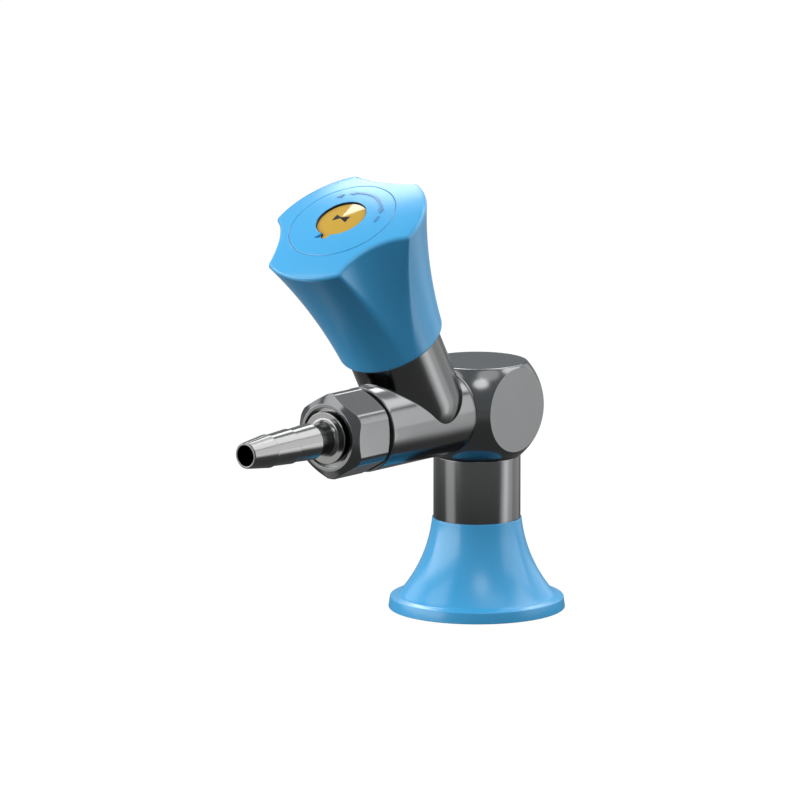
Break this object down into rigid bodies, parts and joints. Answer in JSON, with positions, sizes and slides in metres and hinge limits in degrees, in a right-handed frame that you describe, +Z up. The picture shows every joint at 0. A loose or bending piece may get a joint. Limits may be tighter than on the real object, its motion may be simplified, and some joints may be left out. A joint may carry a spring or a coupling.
{
  "type": "compressed air tap",
  "caption": "Bench-mounted compressed air tap: flared cover and column, horizontal arm with an inclined needle valve and lobed handwheel, and a barbed hose nozzle held by a union nut.",
  "frame": {"origin": "on the column's axis at the bench, in the mouth of the inlet thread", "axes": "+Z up the column, -Y along the outlet from the column to the hose nozzle's tip, x = 0 is the mirror plane"},
  "size_m": [0.0548, 0.1363, 0.1393],
  "materials": {
    "coated_metal": "dark grey satin powder coat on brass",
    "blue_plastic": "glossy light blue moulded plastic",
    "nickel": "bright turned and nickel plated",
    "stainless": "fine turned",
    "brass": "fine turned",
    "seal_rubber": "matt black",
    "seal_plastic": "white, smooth",
    "amber_plastic": "amber, glossy, with a shallow coned face"
  },
  "bodies": {
    "body": {"column": "coated_metal", "column_o_ring": "seal_rubber", "cover": "blue_plastic", "cover_o_ring": "seal_rubber", "base_gasket": "seal_rubber", "head_block": "coated_metal", "valve_body": "coated_metal", "arm_o_ring": "seal_rubber", "seat_ring": "brass", "bonnet": "brass", "bonnet_o_ring": "seal_rubber", "guide_bush": "seal_plastic", "nozzle_gasket": "seal_rubber", "hose_nozzle": "nickel", "union_nut": "coated_metal"},
    "valve_cone": {"valve_cone": "brass", "cone_seal": "seal_plastic", "throttle_plug": "brass"},
    "handwheel": {"spindle": "stainless", "spindle_o_rings": "seal_rubber", "cone_clip": "stainless", "hub_insert": "brass", "handwheel": "blue_plastic", "handwheel_screw": "stainless", "screw_washer": "stainless", "handwheel_cap": "blue_plastic", "index_disc": "amber_plastic"}
  },
  "joints": [
    {"name": "cone_lift", "type": "slide", "parent": "body", "child": "valve_cone", "axis": [0, -0.5, 0.866], "range_m": [0, 0.003]},
    {"name": "handwheel_turn", "type": "hinge", "parent": "valve_cone", "child": "handwheel", "pos_m": [0, -0.0264, 0.0637], "axis": [0, -0.5, 0.866], "range_deg": [0, 1080]}
  ],
  "couplings": [
    {"joint": "handwheel_turn", "follows": "cone_lift", "rad_per_m": 6283.2}
  ]
}
